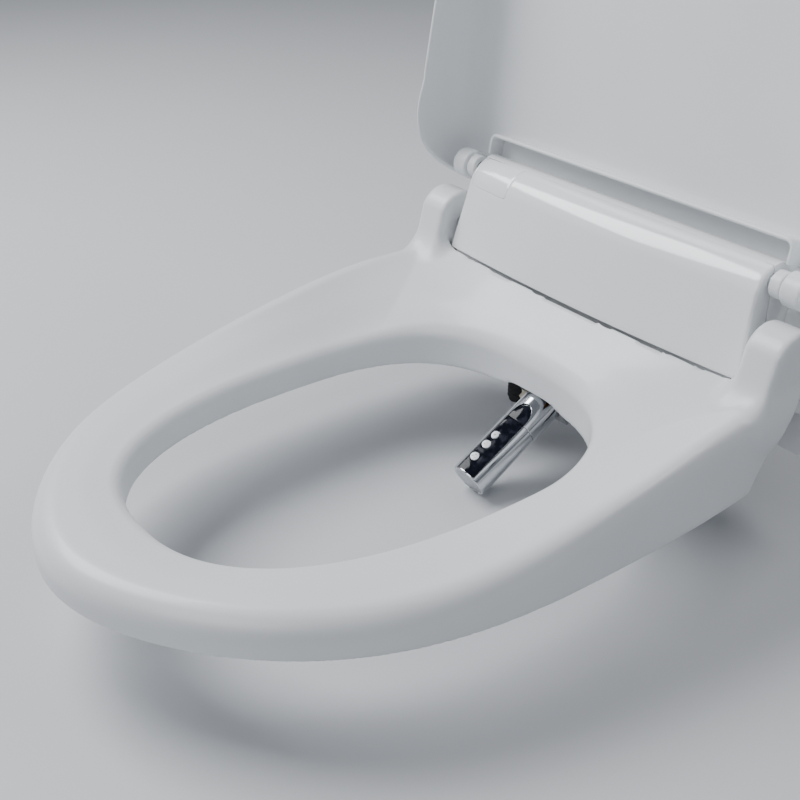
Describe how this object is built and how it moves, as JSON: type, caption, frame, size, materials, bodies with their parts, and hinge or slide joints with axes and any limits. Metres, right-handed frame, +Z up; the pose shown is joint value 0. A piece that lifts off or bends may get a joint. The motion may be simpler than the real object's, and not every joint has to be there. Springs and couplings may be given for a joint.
{
  "type": "electric bidet seat",
  "caption": "Electric bidet seat with a heated ring, a deep hinged lid, a slim rear housing and a spray wand that slides out under the ring.",
  "frame": {"origin": "midway between the two mounting bolts, on the plane of the bowl rim", "axes": "+Z up, -Y towards the front of the seat, +X towards the end with the release button"},
  "size_m": [0.395, 0.5319, 0.6601],
  "materials": {
    "housing_white": "high gloss moulded",
    "seat_white": "satin moulded",
    "lid_white": "satin moulded",
    "chassis_white": "fine texture moulded",
    "grey_plastic": "moulded",
    "dark_plastic": "moulded",
    "ivory_plastic": "moulded",
    "rubber_dark": "moulded",
    "wand_steel": "polished",
    "plate_steel": "zinc plated",
    "inset_gloss": "gloss",
    "disc_white": "gloss",
    "key_grey": "satin",
    "lens_clear": "clear",
    "brass": "machined",
    "blue_hose": "extruded",
    "foil_orange": "film",
    "heater_ceramic": "moulded",
    "element_metal": "drawn",
    "board_green": "solder mask",
    "carbon_black": "porous"
  },
  "bodies": {
    "base": {"mount_plate": "chassis_white", "bolt_guides": "grey_plastic", "mounting_bolts": "plate_steel", "bolt_washers": "plate_steel", "expansion_plugs": "rubber_dark", "base_tray": "chassis_white", "front_cover": "housing_white", "rear_cover": "housing_white", "wand_shroud": "grey_plastic", "case_screws": "plate_steel", "seat_hinge_pins": "plate_steel", "lid_hinge_pins": "plate_steel", "seat_damper": "dark_plastic", "lid_damper": "dark_plastic", "latch_spring": "plate_steel", "wand_motor": "grey_plastic", "motor_bracket": "plate_steel", "flap_pin": "plate_steel", "key_panel": "grey_plastic", "key_lens": "lens_clear", "inlet_fitting": "brass", "inlet_strainer": "plate_steel", "solenoid_valve": "grey_plastic", "flow_sensor": "ivory_plastic", "water_heater": "heater_ceramic", "heater_element": "element_metal", "water_pump": "dark_plastic", "diverter_valve": "ivory_plastic", "water_hoses": "blue_hose", "dryer_casing": "grey_plastic", "dryer_motor": "dark_plastic", "air_duct": "grey_plastic", "deodoriser_casing": "grey_plastic", "carbon_filter": "carbon_black", "control_board": "board_green", "power_module": "dark_plastic", "cord_gland": "rubber_dark"},
    "seat": {"seat_upper_shell": "seat_white", "seat_lower_shell": "seat_white", "seat_heater_foil": "foil_orange", "seat_bumpers": "rubber_dark", "seat_hinge_lugs": "seat_white"},
    "lid": {"lid_shell": "lid_white", "lid_hinge_frame": "lid_white", "lid_bumpers": "rubber_dark"},
    "wand": {"wand_tube": "wand_steel", "wand_tip": "wand_steel", "spray_inset": "inset_gloss", "spray_discs": "disc_white", "wand_rack": "ivory_plastic"},
    "pinion": {"wand_pinion": "ivory_plastic"},
    "flap": {"service_flap": "housing_white"},
    "power_button": {"power_key": "key_grey"},
    "wash_button": {"wash_key": "key_grey"},
    "release": {"release_button": "key_grey"},
    "dryer_fan": {"dryer_rotor": "ivory_plastic"},
    "deodoriser_fan": {"deodoriser_rotor": "ivory_plastic"}
  },
  "joints": [
    {"name": "lid_hinge", "type": "hinge", "parent": "base", "child": "lid", "pos_m": [0, 0.022, 0.138], "axis": [-1, 0, 0], "range_deg": [-109, 0]},
    {"name": "seat_hinge", "type": "hinge", "parent": "base", "child": "seat", "pos_m": [0, 0.006, 0.093], "axis": [-1, 0, 0], "range_deg": [0, 97]},
    {"name": "wand_slide", "type": "slide", "parent": "base", "child": "wand", "axis": [0, -0.866, -0.5], "range_m": [-0.062, 0]},
    {"name": "pinion_spin", "type": "hinge", "parent": "base", "child": "pinion", "pos_m": [-0.0212, 0.00647, 0.03853], "axis": [-1, 0, 0], "range_deg": [-600, 600]},
    {"name": "flap_hinge", "type": "hinge", "parent": "base", "child": "flap", "pos_m": [-0.119, 0.0214, 0.1468], "axis": [-1, 0, 0], "range_deg": [0, 60]},
    {"name": "power_key_press", "type": "slide", "parent": "base", "child": "power_button", "axis": [0, 0.7071, -0.7071], "range_m": [0, 0.0012], "stiffness_N_per_m": 300, "springref_m": -0.001},
    {"name": "wash_key_press", "type": "slide", "parent": "base", "child": "wash_button", "axis": [0, 0.7071, -0.7071], "range_m": [0, 0.0012], "stiffness_N_per_m": 300, "springref_m": -0.001},
    {"name": "release_press", "type": "slide", "parent": "base", "child": "release", "axis": [-1, 0, 0], "range_m": [0, 0.004], "stiffness_N_per_m": 400, "springref_m": -0.002, "deforming": ["latch_spring"]},
    {"name": "dryer_fan_spin", "type": "hinge", "parent": "base", "child": "dryer_fan", "pos_m": [0.034, 0.052, 0.086], "axis": [1, 0, 0], "continuous": true},
    {"name": "deodoriser_fan_spin", "type": "hinge", "parent": "base", "child": "deodoriser_fan", "pos_m": [0.087, 0.056, 0.088], "axis": [1, 0, 0], "continuous": true}
  ],
  "couplings": [
    {"joint": "pinion_spin", "follows": "wand_slide", "rad_per_m": 142.8}
  ]
}
